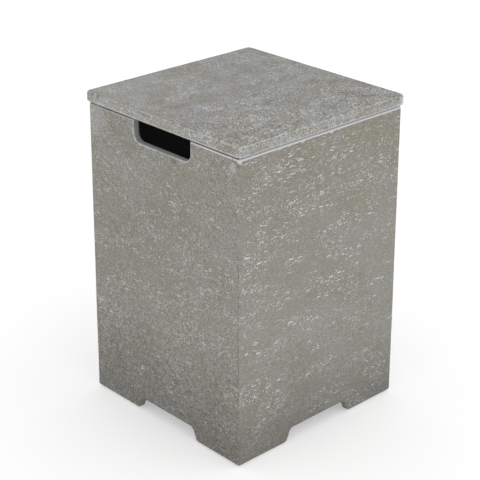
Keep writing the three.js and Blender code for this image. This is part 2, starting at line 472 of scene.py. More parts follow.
def slab_cast():
    side = SLAB_HIGH.x - SLAB_LOW.x
    thickness = SLAB_HIGH.z - SLAB_LOW.z

    def edge_width(place):
        return SLAB_LOW_EDGE if place.z < MM else SLAB_TOP_EDGE, True

    slab = as_object(prism(rounded_square(side, SLAB_CORNER), 0, thickness), "slab")
    slab, arrises = rounded_edges(slab, edge_width, SLAB_TOP_EDGE, "slab")
    slab = carved(slab, [sleeve_hole(corner) for corner in CORNERS], "slab_cast")
    bm = bmesh.new()
    bm.from_mesh(slab.data)
    low = Vector((-side / 2, -side / 2, 0))
    high = Vector((side / 2, side / 2, thickness))
    under = SLAB_LOW_EDGE / 10
    clear = side / 2 - 2 * SLAB_TOP_EDGE

    def on_show(face):
        middle = face.calc_center_median()
        near_side = max(abs(middle.x), abs(middle.y)) > clear and middle.z > under
        return near_side or middle.z > thickness - SLAB_TOP_EDGE

    gridded(bm, lambda face: True, low, high, SLAB_UNDER_PITCH, (0, 1))
    gridded(bm, on_show, low, high, SLAB_PITCH, (2, 0, 1))
    layer = arris_distances(bm, arrises)
    bm.normal_update()
    moves = []
    for vertex in bm.verts:
        place = vertex.co
        in_hole = max(abs(place.x), abs(place.y)) < clear and under < place.z < thickness - under
        relief = 0 if in_hole else slab_relief(place, place.z < under, vertex[layer])
        moves.append(vertex.normal * relief)
    for vertex, move in zip(bm.verts, moves):
        vertex.co += move
        vertex.co.z += SLAB_LOW.z
    finish_mesh(bm, slab)
    return slab


# Pieces that repeat at the four corners

def corner_tree():
    """Geometry nodes that set a copy of a piece at each corner of a square, each turned by chance."""
    tree = bpy.data.node_groups.new("on_four_corners", "GeometryNodeTree")
    kinds = {
        "Unit": "Geometry",
        "Spread": "Float",
        "Height": "Float",
        "Turn seed": "Int",
        "Finish": "Material",
    }
    for label, kind in kinds.items():
        tree.interface.new_socket(label, in_out="INPUT", socket_type="NodeSocket" + kind)
    tree.interface.new_socket("Pieces", in_out="OUTPUT", socket_type="NodeSocketGeometry")
    graph = Graph(tree)
    given = tree.nodes.new("NodeGroupInput").outputs
    grid = graph.add("GeometryNodeMeshGrid", {"Size X": given["Spread"], "Size Y": given["Spread"]})
    grid.inputs["Vertices X"].default_value = 2
    grid.inputs["Vertices Y"].default_value = 2
    lift = graph.add("ShaderNodeCombineXYZ", {"Z": given["Height"]}).outputs[0]
    raising = {"Geometry": grid.outputs[0], "Translation": lift}
    raised = graph.add("GeometryNodeTransform", raising).outputs[0]
    chance = graph.add("FunctionNodeRandomValue", {"Seed": given["Turn seed"]}, data_type="FLOAT")
    chance.inputs[3].default_value = math.tau
    turn = graph.add("ShaderNodeCombineXYZ", {"Z": chance.outputs[1]}).outputs[0]
    placing = {"Points": raised, "Instance": given["Unit"], "Rotation": turn}
    copies = graph.add("GeometryNodeInstanceOnPoints", placing).outputs[0]
    solid = graph.add("GeometryNodeRealizeInstances", {"Geometry": copies}).outputs[0]
    finishing = {"Geometry": solid, "Material": given["Finish"]}
    finished = graph.add("GeometryNodeSetMaterial", finishing).outputs[0]
    out = tree.nodes.new("NodeGroupOutput")
    tree.links.new(finished, out.inputs["Pieces"])
    return tree


def at_corners(tree, unit, name, like, material, turn_seed=0):
    """One mesh of four copies of a unit, where the CAD model has a piece of the given kind."""
    low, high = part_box(like + "_back_right")
    middle = (low + high) / 2
    carrier = as_object(unit, name + "_unit")
    for polygon_face in carrier.data.polygons:
        polygon_face.use_smooth = True
    modifier = carrier.modifiers.new("corners", "NODES")
    modifier.node_group = tree
    values = {"Spread": 2 * middle.x, "Height": low.z, "Turn seed": turn_seed, "Finish": material}
    for item in tree.interface.items_tree:
        if item.in_out == "INPUT" and item.name in values:
            modifier[item.identifier] = values[item.name]
    return baked(carrier, name)


def disc(like, edge):
    """Rubber disc with a ring moulded into its underside."""
    low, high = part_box(like + "_back_right")
    radius = (high.x - low.x) / 2
    height = high.z - low.z
    inner, outer = (share * radius for share in DISC_GROOVE)
    return turned([
        (0, 0, 0),
        (inner, 0, 0),
        (inner, DISC_GROOVE_DEPTH, 0),
        (outer, DISC_GROOVE_DEPTH, 0),
        (outer, 0, 0),
        (radius, 0, edge),
        (radius, height, edge),
        (0, height, 0),
    ])


def bumper():
    """Tapered rubber bumper with its underside at z = 0, grooves round it and a well for a screw."""
    low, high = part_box("lid_locator_back_right")
    top_radius = (high.x - low.x) / 2
    height = high.z - low.z
    taper = (top_radius - BUMPER_BOTTOM_RADIUS) / height
    grooves = []
    for share in BUMPER_GROOVES:
        start = share * height
        radius = BUMPER_BOTTOM_RADIUS + taper * start
        grooves += [
            (radius, start, 0),
            (radius - BUMPER_GROOVE_DEPTH, start + BUMPER_GROOVE_WIDTH / 2, 0),
            (radius + taper * BUMPER_GROOVE_WIDTH, start + BUMPER_GROOVE_WIDTH, 0),
        ]
    return turned([
        (BUMPER_HOLE, BUMPER_WELL_DEPTH, 0),
        (BUMPER_WELL, BUMPER_WELL_DEPTH, 0),
        (BUMPER_WELL, 0, BUMPER_EDGE / 3),
        (BUMPER_BOTTOM_RADIUS, 0, BUMPER_EDGE),
        *grooves,
        (top_radius, height, BUMPER_EDGE / 6),
        (BUMPER_HOLE, height, 0),
    ])


def screw():
    """Button-headed screw, head down at z = 0, with a hexagon socket and turned grooves for a thread."""
    low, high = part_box("locator_screw_back_right")
    head_radius = (high.x - low.x) / 2
    length = high.z - low.z
    thread = []
    start = SCREW_HEAD_HEIGHT + SCREW_PITCH
    while start + 2 * SCREW_PITCH < length:
        thread += [(SCREW_ROOT, start, 0), (SCREW_RADIUS, start + SCREW_PITCH / 2, 0)]
        start += SCREW_PITCH
    body = as_object(turned([
        (0, 0, 0),
        (head_radius, 0, SCREW_DOME),
        (head_radius, SCREW_HEAD_HEIGHT, SCREW_DOME / 6),
        (SCREW_ROOT, SCREW_HEAD_HEIGHT, 0),
        *thread,
        (SCREW_ROOT, length - SCREW_PITCH, 0),
        (SCREW_ROOT - SCREW_PITCH / 2, length, 0),
        (0, length, 0),
    ]), "screw")
    socket = as_object(prism(polygon(6, SCREW_SOCKET), -OVERRUN, SCREW_SOCKET_DEPTH), "socket")
    cut = carved(body, [socket], "cut_screw")
    bm = bmesh.new()
    bm.from_mesh(cut.data)
    bpy.data.objects.remove(cut)
    return bm


# Node trees

class Graph:
    """A node tree, with short ways to add nodes to it."""

    def __init__(self, tree):
        self.tree = tree

    def add(self, kind, inputs=None, **settings):
        """New node, with values or links on its inputs."""
        node = self.tree.nodes.new(kind)
        for name, value in settings.items():
            setattr(node, name, value)
        for key, value in (inputs or {}).items():
            if isinstance(value, bpy.types.NodeSocket):
                self.tree.links.new(value, node.inputs[key])
            else:
                node.inputs[key].default_value = value
        return node

    def link(self, source, target):
        self.tree.links.new(source, target)

    def maths(self, operation, first, second=0.0):
        return self.add("ShaderNodeMath", {0: first, 1: second}, operation=operation).outputs[0]

    def plus(self, first, second):
        return self.maths("ADD", first, second)

    def less(self, first, second):
        return self.maths("SUBTRACT", first, second)

    def times(self, first, second):
        return self.maths("MULTIPLY", first, second)

    def vector(self, operation, first, second):
        return self.add("ShaderNodeVectorMath", {0: first, 1: second}, operation=operation).outputs[0]

    def smooth(self, value, low, high, bottom=0.0, top=1.0):
        """Goes smoothly from the bottom to the top while the value goes from low to high."""
        inputs = {0: value, 1: low, 2: high, 3: bottom, 4: top}
        return self.add("ShaderNodeMapRange", inputs, interpolation_type="SMOOTHSTEP").outputs[0]

    def fading(self, value, low, high):
        return self.smooth(value, low, high, 1.0, 0.0)

    def between(self, factor, first, second):
        return self.smooth(factor, 0.0, 1.0, first, second)

    def noise(self, place, scale, detail=2.0, roughness=0.5):
        inputs = {"Vector": place, "Scale": scale, "Detail": detail, "Roughness": roughness}
        return self.add("ShaderNodeTexNoise", inputs).outputs[0]

    def mixed(self, factor, first, second, blend="MIX"):
        inputs = {0: factor, 6: first, 7: second}
        return self.add("ShaderNodeMix", inputs, data_type="RGBA", blend_type=blend).outputs[2]

    def group(self, tree, inputs):
        return self.add("ShaderNodeGroup", inputs, node_tree=tree).outputs[0]


def shader_group(name, inputs, output):
    """New shader group with named inputs and one output, given as its graph, inputs and output socket."""
    tree = bpy.data.node_groups.new(name, "ShaderNodeTree")
    for label, kind in inputs.items():
        tree.interface.new_socket(label, in_out="INPUT", socket_type=kind)
    tree.interface.new_socket(output[0], in_out="OUTPUT", socket_type=output[1])
    given = tree.nodes.new("NodeGroupInput").outputs
    return Graph(tree), given, tree.nodes.new("NodeGroupOutput").inputs[0]


FLOAT = "NodeSocketFloat"
VECTOR = "NodeSocketVector"
COLOUR = "NodeSocketColor"

# In the names below, a SCALE is in cells per metre, a NOISE is a scale with a detail and a roughness,
# a DETAIL is these without the scale, and a SPAN is where something starts and ends its fade.
NOISE_SPAN = (0.3, 0.7)
NOISE_MIDDLE = 0.5

SWAY_SCALE = 28.0
SWAY_DETAIL = 2.0

CLOUD_DETAIL = (3.0, 0.55)
CLOUD_SPAN = (0.38, 0.62)
BROAD_SCALE = 5.0
BROAD_STRENGTH = 0.03
CRINKLE_NOISE = (330.0, 1.0)
CRINKLE_SPAN = (0.36, 0.64)
BLOTCH_NOISE = (110.0, 1.0)
BLOTCH_STRENGTH = 0.15

# Dots: their sizes and soft edges are parts of a cell
FLECKS = {"scale": 175.0, "smallest": 0.1, "spread": 0.17, "share": 0.68}
SPECKS = {"scale": 310.0, "smallest": 0.14, "spread": 0.22, "share": 0.5}
DASHES = {"scale": 40.0, "smallest": 0.1, "spread": 0.16, "share": 0.45}
DOT_SPAN = (-0.05, 0.03)
SHARE_EDGE = 0.02
SPECK_STRENGTH = 0.85
DASH_STRETCH = (1.0, 1.0, 4.2)

WORM_NOISE = (150.0, 0.0)
WORM_SPAN = (0.02, 0.06)
WORM_BREAK_NOISE = (90.0, 1.0)
WORM_BREAK_SPAN = (0.5, 0.6)

CLUSTER_STRETCH = (1.0, 1.0, 1.8)
CLUSTER_DETAIL = (3.0, 0.6)
ROW_STRETCH = (0.5, 0.5, 4.5)
ROW_SCALE = 12.0
PATCH_SPAN = (0.42, 0.58)

PIT_SCALE = 130.0
PIT_SPAN = (0.08, 0.26)

ARRIS_SCALE = 90.0
ARRIS_WIDTH_SHARES = (0.7, 1.4)
ARRIS_SPAN = (0.5, 1.3)

STAIN_SCALE = 260.0
STAIN_RAGGED = 0.4
STAIN_SPAN = (0.3, 1.1)

GRAIN_NOISE = (420.0, 3.0, 0.6)
GRAIN_HEIGHT = 0.25
SAND_SCALE = 120.0
SAND_HEIGHT = 0.5
MARK_HEIGHT = 0.35


def mould_place_group():
    """Place on the casting, bent a little by chance and squeezed in height."""
    graph, given, out = shader_group("mould_place", {"Squeeze": FLOAT, "Bend": FLOAT}, ("Place", VECTOR))
    place = graph.add("ShaderNodeTexCoord").outputs["Object"]
    swaying = {"Vector": place, "Scale": SWAY_SCALE, "Detail": SWAY_DETAIL}
    sway = graph.add("ShaderNodeTexNoise", swaying).outputs["Color"]
    offset = graph.vector("SUBTRACT", sway, (NOISE_MIDDLE, NOISE_MIDDLE, NOISE_MIDDLE))
    bending = {0: offset, "Scale": given["Bend"]}
    reach = graph.add("ShaderNodeVectorMath", bending, operation="SCALE").outputs[0]
    bent = graph.vector("ADD", place, reach)
    squeeze = graph.add("ShaderNodeCombineXYZ", {"X": 1.0, "Y": 1.0, "Z": given["Squeeze"]}).outputs[0]
    graph.link(graph.vector("MULTIPLY", bent, squeeze), out)
    return graph.tree


def cloudy_stone_group():
    """Cement colour: clouds of two greys with a crinkled mottling over them."""
    inputs = {"Place": VECTOR, "Warm": COLOUR, "Cool": COLOUR, "Clouds": FLOAT, "Mottling": FLOAT}
    graph, given, out = shader_group("cloudy_stone", inputs, ("Colour", COLOUR))
    place = given["Place"]
    clouds = graph.smooth(graph.noise(place, given["Clouds"], *CLOUD_DETAIL), *CLOUD_SPAN)
    cement = graph.mixed(clouds, given["Warm"], given["Cool"])
    broad = graph.smooth(graph.noise(place, BROAD_SCALE), *NOISE_SPAN, -1.0, 1.0)
    crinkle = graph.smooth(graph.noise(place, *CRINKLE_NOISE), *CRINKLE_SPAN, -1.0, 1.0)
    blotch = graph.smooth(graph.noise(place, *BLOTCH_NOISE), *NOISE_SPAN, -BLOTCH_STRENGTH, BLOTCH_STRENGTH)
    fine = graph.times(graph.plus(crinkle, blotch), given["Mottling"])
    shade = graph.plus(graph.plus(fine, graph.times(broad, BROAD_STRENGTH)), 1.0)
    grey = graph.add("ShaderNodeCombineXYZ", {"X": shade, "Y": shade, "Z": shade}).outputs[0]
    graph.link(graph.mixed(1.0, cement, grey, "MULTIPLY"), out)
    return graph.tree


def dots(graph, place, scale, smallest, spread, share):
    """Dots of chance size, in a share of the cells."""
    cell = graph.add("ShaderNodeTexVoronoi", {"Vector": place, "Scale": scale})
    chance = graph.add("ShaderNodeSeparateColor", {0: cell.outputs["Color"]})
    radius = graph.maths("MULTIPLY_ADD", chance.outputs[0], spread)
    radius.node.inputs[2].default_value = smallest
    gap = graph.less(cell.outputs["Distance"], radius)
    present = graph.fading(chance.outputs[1], share - SHARE_EDGE, share + SHARE_EDGE)
    return graph.times(graph.fading(gap, *DOT_SPAN), present)


def pale_marks_group():
    """Pale flecks, dashes and worm-like lines, in clusters and rows with plainer areas between them."""
    inputs = {
        "Place": VECTOR,
        "Clusters": FLOAT,
        "Plain": FLOAT,
        "Dense": FLOAT,
        "Between rows": FLOAT,
        "Dots": FLOAT,
        "Dashes": FLOAT,
        "Worms": FLOAT,
    }
    graph, given, out = shader_group("pale_marks", inputs, ("Mask", FLOAT))
    place = given["Place"]
    flecks = graph.times(dots(graph, place, **FLECKS), given["Dots"])
    specks = graph.times(dots(graph, place, **SPECKS), SPECK_STRENGTH)
    dash_place = graph.vector("MULTIPLY", place, DASH_STRETCH)
    dashes = graph.times(dots(graph, dash_place, **DASHES), given["Dashes"])
    wander = graph.maths("ABSOLUTE", graph.less(graph.noise(place, *WORM_NOISE), NOISE_MIDDLE))
    line = graph.fading(wander, *WORM_SPAN)
    broken = graph.smooth(graph.noise(place, *WORM_BREAK_NOISE), *WORM_BREAK_SPAN)
    worms = graph.times(graph.times(line, broken), given["Worms"])
    rounder = graph.maths("MAXIMUM", flecks, specks)
    longer = graph.maths("MAXIMUM", dashes, worms)
    cluster_place = graph.vector("MULTIPLY", place, CLUSTER_STRETCH)
    spread = graph.noise(cluster_place, given["Clusters"], *CLUSTER_DETAIL)
    cluster = graph.smooth(spread, *PATCH_SPAN, given["Plain"], given["Dense"])
    row_place = graph.vector("MULTIPLY", place, ROW_STRETCH)
    rows = graph.smooth(graph.noise(row_place, ROW_SCALE), *PATCH_SPAN, given["Between rows"], 1.0)
    mask = graph.times(graph.maths("MAXIMUM", rounder, longer), graph.times(cluster, rows))
    graph.link(mask, out)
    return graph.tree


def pits_group():
    """Small air holes, in a share of the cells."""
    graph, given, out = shader_group("pits", {"Place": VECTOR, "Share": FLOAT}, ("Mask", FLOAT))
    cell = graph.add("ShaderNodeTexVoronoi", {"Vector": given["Place"], "Scale": PIT_SCALE})
    chance = graph.add("ShaderNodeSeparateColor", {0: cell.outputs["Color"]})
    present = graph.maths("LESS_THAN", chance.outputs[2], given["Share"])
    hole = graph.fading(cell.outputs["Distance"], *PIT_SPAN)
    graph.link(graph.times(hole, present), out)
    return graph.tree


def worn_arris_group():
    """Paler strip along the arrises, of uneven width."""
    graph, given, out = shader_group("worn_arris", {"Place": VECTOR, "Width": FLOAT}, ("Mask", FLOAT))
    reach = graph.add("ShaderNodeAttribute", attribute_name="arris_distance").outputs["Fac"]
    uneven = graph.smooth(graph.noise(given["Place"], ARRIS_SCALE), *NOISE_SPAN, *ARRIS_WIDTH_SHARES)
    width = graph.times(given["Width"], uneven)
    graph.link(graph.fading(graph.maths("DIVIDE", reach, width), *ARRIS_SPAN), out)
    return graph.tree


def stain_group():
    """Ragged spot round a centre."""
    inputs = {"Place": VECTOR, "Centre": VECTOR, "Radius": FLOAT}
    graph, given, out = shader_group("stain", inputs, ("Mask", FLOAT))
    ends = {0: given["Place"], 1: given["Centre"]}
    away = graph.add("ShaderNodeVectorMath", ends, operation="DISTANCE").outputs["Value"]
    share = graph.maths("DIVIDE", away, given["Radius"])
    chance = graph.noise(given["Place"], STAIN_SCALE)
    ragged = graph.plus(share, graph.smooth(chance, *NOISE_SPAN, -STAIN_RAGGED, STAIN_RAGGED))
    graph.link(graph.fading(ragged, *STAIN_SPAN), out)
    return graph.tree


def stone_height_group():
    """Height of the surface from its marks, pits and grain."""
    inputs = {"Place": VECTOR, "Marks": FLOAT, "Pits": FLOAT}
    graph, given, out = shader_group("stone_height", inputs, ("Height", FLOAT))
    grain = graph.times(graph.noise(given["Place"], *GRAIN_NOISE), GRAIN_HEIGHT)
    sand = graph.times(graph.noise(given["Place"], SAND_SCALE), SAND_HEIGHT)
    raised = graph.plus(graph.plus(grain, sand), graph.times(given["Marks"], MARK_HEIGHT))
    graph.link(graph.less(raised, given["Pits"]), out)
    return graph.tree


MOULD_PLACE = mould_place_group()
CLOUDY_STONE = cloudy_stone_group()
PALE_MARKS = pale_marks_group()
PITS = pits_group()
WORN_ARRIS = worn_arris_group()
STAIN = stain_group()
STONE_HEIGHT = stone_height_group()


# Materials

def new_material(name):
    """New material, given with its graph and its shader."""
    material = bpy.data.materials.new(name)
    material.use_nodes = True
    return material, Graph(material.node_tree), material.node_tree.nodes["Principled BSDF"]


def bumped(graph, shader, height, depth):
    bump = graph.add("ShaderNodeBump", {"Height": height, "Distance": depth, "Strength": 1.0})
    graph.link(bump.outputs[0], shader.inputs["Normal"])


BODY_WARM = (0.2290, 0.2180, 0.1830, 1)
BODY_COOL = (0.2390, 0.2340, 0.2100, 1)
SLAB_WARM = (0.2240, 0.2150, 0.1900, 1)
SLAB_COOL = (0.2600, 0.2600, 0.2550, 1)
PALE_MARK = (0.7, 0.72, 0.715, 1)
# Painted shade inside the pits
PIT_SHADE_COLOUR = (0.1, 0.09, 0.078, 1)
SMOOTH_CEMENT = (0.31, 0.315, 0.32, 1)
BODY_ARRIS = (0.31, 0.27, 0.19, 1)
LIP_COLOUR = (0.48, 0.49, 0.51, 1)
SLAB_ARRIS = (0.48, 0.465, 0.425, 1)
BAND_TINT = (1.16, 1.16, 1.15, 1)
# Partly a painted highlight on the rim's upward rounding, partly pale cement
SHOULDER_COLOUR = (0.55, 0.565, 0.59, 1)
# Painted shadow that the slab's overhang casts on the body's rim
OVERHANG_SHADOW_COLOUR = (0.075, 0.08, 0.105, 1)
BROWN = (0.13, 0.105, 0.075, 1)
OCHRE = (0.2, 0.14, 0.065, 1)
OLIVE = (0.2, 0.188, 0.148, 1)
# Painted shade towards the ground
FOOT_SHADE = (0.6, 0.595, 0.61, 1)
# Painted shade: near black for the shade inside the hollow
INNER_SHADE_COLOUR = (0.05, 0.05, 0.049, 1)

# Spots and clouds on the castings: colour, centre in millimetres, radius in millimetres and strength
BODY_SPOTS = (
    # This spot is partly a painted highlight on the rim's rounded front corner, partly pale cement
    (SHOULDER_COLOUR, (-195.7, -195.7, 572), 6, 0.9),
    (OCHRE, (-195.7, -180, 570.5), 3.5, 0.7),
    (OCHRE, (-195.7, -187, 569), 3.5, 0.8),
    (BROWN, (-195.8, -193, 565), 4, 0.7),
    (LIP_COLOUR, (-195.8, -181, 557), 9, 0.45),
    (LIP_COLOUR, (-196, 183, 550), 38, 0.3),
    (BROWN, (-196, -35, 529), 7, 0.7),
    (BROWN, (-196, 60, 533.5), 4, 0.5),
    (OCHRE, (-198.6, -194, 66), 3.5, 0.7),
)
BODY_CLOUDS = (
    (OLIVE, (-197, -28, 451), 90, 0.5),
    (OLIVE, (-197, 119, 313), 140, 0.35),
)
SLAB_SPOTS = (
    (SLAB_ARRIS, (-197.4, -197.4, 595), 3.5, 0.8),
    (SLAB_ARRIS, (-197.4, -197.4, 590), 3.5, 0.8),
    (SLAB_ARRIS, (-197.4, -197.4, 585), 3.5, 0.8),
    (SHOULDER_COLOUR, (197, -199, 589), 14, 0.8),
    (BROWN, (-200, 179, 595.5), 4, 0.7),
    (BROWN, (-200, 165, 594.5), 6, 0.6),
    (BROWN, (-148, 20, 598), 34, 0.2),
    (BROWN, (-150, 62, 598), 22, 0.2),
    (BROWN, (-158, -147, 598), 20, 0.25),
    (BROWN, (141, -152, 598), 24, 0.25),
    (BROWN, (44, 152, 598), 26, 0.12),
    (SLAB_ARRIS, (-150, 150, 598), 150, 0.07),
)

# Both castings
STONE_BEND = 3 * MM
MARK_STRENGTH = 0.8
PIT_SHADE_STRENGTH = 0.6
STONE_ROUGHNESS = (0.82, 0.95)
STONE_ROUGHNESS_SCALE = 60.0
STONE_RELIEF = 0.4 * MM

# Top of the body's walls, with a painted highlight on the shoulder and a painted shadow under the slab's
# overhang: distances below the rim, along Y, and into the wall from its outer face
RIM_SCALE = 140.0
RIM_UNEVEN = 1.2 * MM
# Painted highlight, partly pale cement, on the shoulder: how far below the rim it reaches, and its fade
# towards the back
SHOULDER_SPAN = (3.9 * MM, 5.2 * MM)
SHOULDER_FADE_SPAN = (-120 * MM, 0.0)
SHOULDER_BACK_STRENGTH = 0.3
# Painted shadow under the slab's overhang: heights below the rim, depths into the wall, and strengths on
# the front and side walls
OVERHANG_SHADOW_SPAN = (1.2 * MM, 2.2 * MM)
OVERHANG_SHADOW_DEPTH_SPAN = (4 * MM, 6 * MM)
OVERHANG_SHADOW_FRONT_STRENGTH = 0.3
OVERHANG_SHADOW_SIDE_STRENGTH = 0.9

# Cut faces and arrises of the body: distances into the wall, up from the ground and from the middle
CUT_FACE_SPAN = (1.5 * MM, 4 * MM)
CUT_FACE_STRENGTH = 0.75
LIP_BOTTOM_SPAN = (BODY_HIGH.z - 60 * MM, BODY_HIGH.z - 50 * MM)
LIP_END_SPAN = (90 * MM, 100 * MM)
LIP_STRENGTH = 0.85
BODY_ARRIS_WIDTH = 2.3 * MM
BODY_ARRIS_STRENGTH = 0.5

# Dark line where the mould was parted: distances from the front or back face, and up from the ground
MOULD_SEAM_INSET = 2.6 * MM
MOULD_SEAM_SPAN = (0.5 * MM, 1.3 * MM)
MOULD_SEAM_BOTTOM_SPAN = (90 * MM, 150 * MM)
MOULD_SEAM_TOP_SPAN = (370 * MM, 430 * MM)
MOULD_SEAM_SCALE = 50.0
MOULD_SEAM_WORN_SPAN = (0.35, 0.6)
MOULD_SEAM_STRENGTHS = (0.15, 0.55)

# Concrete of the body: FRONT is the front and back walls, and SIDE the walls with the handholds
BODY_SQUEEZE = 1.4
HEIGHT_NOISE = (20.0, 3.0)
HEIGHT_UNEVEN = 60 * MM
BODY_CLOUD_SCALE = 13.0
BODY_CLUSTER_SCALE = 10.0
UPPER_SPAN = (380 * MM, 540 * MM)
UPPER_OLIVE = 0.5
FRONT_MOTTLING = 0.14
SIDE_MOTTLINGS = (0.3, 0.23)
SIDE_MOTTLING_SPAN = (100 * MM, 350 * MM)
FRONT_DENSE = 1.4
SIDE_DENSE = 1.05
FRONT_BETWEEN_ROWS = 0.45
SIDE_BETWEEN_ROWS = 0.9
FRONT_PLAINS = (0.3, 0.65)
SIDE_PLAIN = 0.45
FRONT_DOTS = (0.95, 1.25)
SIDE_DOTS = 0.5
BODY_DASHES = 0.8
FRONT_WORMS = 0.3
SIDE_WORMS = (0.7, 0.56)
SIDE_WORM_SPAN = (120 * MM, 300 * MM)
BODY_PIT_SHARE = 0.12
# Painted shade towards the ground: where it ends on each wall, and how it falls off
FRONT_FOOT_HEIGHT = 270 * MM
SIDE_FOOT_HEIGHT = 350 * MM
FOOT_FALL = 1.5

# Concrete of the slab: the band is its edge all round, below the rounding of its top
SLAB_SQUEEZE = 2.2
FORWARD_SPAN = (-200 * MM, 100 * MM)
BAND_SPAN = (SLAB_HIGH.z - 4.5 * MM, SLAB_HIGH.z - 2.5 * MM)
BAND_COARSENESS = 0.65
SLAB_MOTTLINGS = (0.19, 0.42)
SLAB_CLOUD_SCALE = 26.0
SLAB_CLUSTER_SCALE = 17.0
SLAB_PLAIN = 0.3
SLAB_DOTS = (0.4, 1.0)
SLAB_DASHES = 0.3
SLAB_WORMS = (0.4, 0.85)
SLAB_PIT_SHARE = 0.2
BROWN_NOISE = (42.0, 3.0, 0.6)
BROWN_SPAN = (0.52, 0.66)
BROWN_STRENGTH = 0.3
LOW_EDGE_SPAN = (SLAB_LOW.z + 6 * MM, SLAB_LOW.z + 8 * MM)
SLAB_ARRIS_WIDTHS = (2.2 * MM, 3.8 * MM)
SLAB_ARRIS_STRENGTH = 0.72

# Small pieces
SMALL_BEND = MM
RUBBER = {
    "pattern": (160.0, 4.0, 0.65),
    "span": (0.5, 0.75),
    "colours": ((0.011, 0.011, 0.012, 1), (0.05, 0.049, 0.045, 1)),
    "roughness": (0.55, 0.85),
    "grain": (900.0, 3.0, 0.6),
    "relief": 0.05 * MM,
    "metallic": 0,
}
ZINC = {
    "pattern": (300.0, 4.0, 0.6),
    "span": (0.35, 0.7),
    "colours": ((0.52, 0.53, 0.54, 1), (0.34, 0.35, 0.33, 1)),
    "roughness": (0.25, 0.5),
    "grain": (1500.0,),
    "relief": 0.02 * MM,
    "metallic": 1,
}
BRASS = {
    "pattern": (350.0, 4.0, 0.6),
    "span": (0.4, 0.7),
    "colours": ((0.5, 0.32, 0.1, 1), (0.2, 0.12, 0.05, 1)),
    "roughness": (0.3, 0.6),
    "grain": (1500.0,),
    "relief": 0.02 * MM,
    "metallic": 1,
}


def stone_colour(graph, place, cement, marks, pit_share):
    """Cement with its marks and pits, given with the pits."""
    pits = graph.group(PITS, {"Place": place, "Share": pit_share})
    marked = graph.mixed(graph.times(marks, MARK_STRENGTH), cement, PALE_MARK)
    # Painted shade: the pits are darkened where shade falls inside them
    return graph.mixed(graph.times(pits, PIT_SHADE_STRENGTH), marked, PIT_SHADE_COLOUR), pits


def stone_shader(graph, shader, place, colour, marks, pits):
    graph.link(colour, shader.inputs["Base Color"])
    rough = graph.smooth(graph.noise(place, STONE_ROUGHNESS_SCALE), *NOISE_SPAN, *STONE_ROUGHNESS)
    graph.link(rough, shader.inputs["Roughness"])
    height = graph.group(STONE_HEIGHT, {"Place": place, "Marks": marks, "Pits": pits})
    bumped(graph, shader, height, STONE_RELIEF)


def spotted(graph, here, colour, spots):
    """Colour with ragged spots on it."""
    for tint, centre, radius, strength in spots:
        middle = tuple(MM * part for part in centre)
        mask = graph.group(STAIN, {"Place": here, "Centre": middle, "Radius": radius * MM})
        colour = graph.mixed(graph.times(mask, strength), colour, tint)
    return colour


def depth_from(graph, parts, across):
    """How far a place lies inside the leaning plane of an outer face, by its distance from the middle."""
    lean = graph.times(parts[2], WALL_DRAFT / BODY_HEIGHT)
    return graph.less(graph.less(FOOT_SIDE / 2, lean), across)


def rim_colours(graph, place, parts, on_side, depth, colour):
    """Pale shoulder under the slab, partly a painted highlight on its upward rounding and partly pale
    cement, with a painted shadow as a dark line where the slab overhangs it.
    """
    uneven = graph.times(graph.noise(place, RIM_SCALE), RIM_UNEVEN)
    below = graph.less(BODY_HIGH.z, graph.plus(parts[2], uneven))
    # Painted highlight, partly pale cement: the upward rounding of the shoulder is made paler, less so
    # towards the back
    shoulder = graph.fading(below, *SHOULDER_SPAN)
    backwards = graph.smooth(parts[1], *SHOULDER_FADE_SPAN, 1.0, SHOULDER_BACK_STRENGTH)
    colour = graph.mixed(graph.times(shoulder, backwards), colour, SHOULDER_COLOUR)
    # Painted shadow: a dark line on the shoulder just below the slab's overhang
    overhang_shadow = graph.fading(below, *OVERHANG_SHADOW_SPAN)
    outer = graph.fading(depth, *OVERHANG_SHADOW_DEPTH_SPAN)
    strength = graph.times(outer, graph.between(on_side, OVERHANG_SHADOW_FRONT_STRENGTH, OVERHANG_SHADOW_SIDE_STRENGTH))
    return graph.mixed(graph.times(overhang_shadow, strength), colour, OVERHANG_SHADOW_COLOUR)


def opening_colours(graph, parts, on_side, depth, arris, colour):
    """Smoother, paler cement on the cut faces, and pale lips round the handholds."""
    cut_face = graph.smooth(depth, *CUT_FACE_SPAN, 0.0, CUT_FACE_STRENGTH)
    colour = graph.mixed(cut_face, colour, SMOOTH_CEMENT)
    high = graph.smooth(parts[2], *LIP_BOTTOM_SPAN)
    near = graph.fading(graph.maths("ABSOLUTE", parts[1]), *LIP_END_SPAN)
    lip = graph.times(graph.times(high, near), on_side)
    colour = graph.mixed(graph.times(arris, graph.times(lip, LIP_STRENGTH)), colour, LIP_COLOUR)
    rest = graph.times(graph.less(1.0, lip), BODY_ARRIS_STRENGTH)
    return graph.mixed(graph.times(arris, rest), colour, BODY_ARRIS)


def mould_seam(graph, place, parts, on_side, colour):
    """Thin dark line down the side walls, beside their upright arrises, where the mould was parted."""
    inset = depth_from(graph, parts, graph.maths("ABSOLUTE", parts[1]))
    away = graph.maths("ABSOLUTE", graph.less(inset, MOULD_SEAM_INSET))
    line = graph.fading(away, *MOULD_SEAM_SPAN)
    low = graph.smooth(parts[2], *MOULD_SEAM_BOTTOM_SPAN)
    high = graph.fading(parts[2], *MOULD_SEAM_TOP_SPAN)
    worn = graph.smooth(graph.noise(place, MOULD_SEAM_SCALE), *MOULD_SEAM_WORN_SPAN, *MOULD_SEAM_STRENGTHS)
    mask = graph.times(graph.times(low, high), graph.times(line, worn))
    return graph.mixed(graph.times(mask, on_side), colour, BROWN)


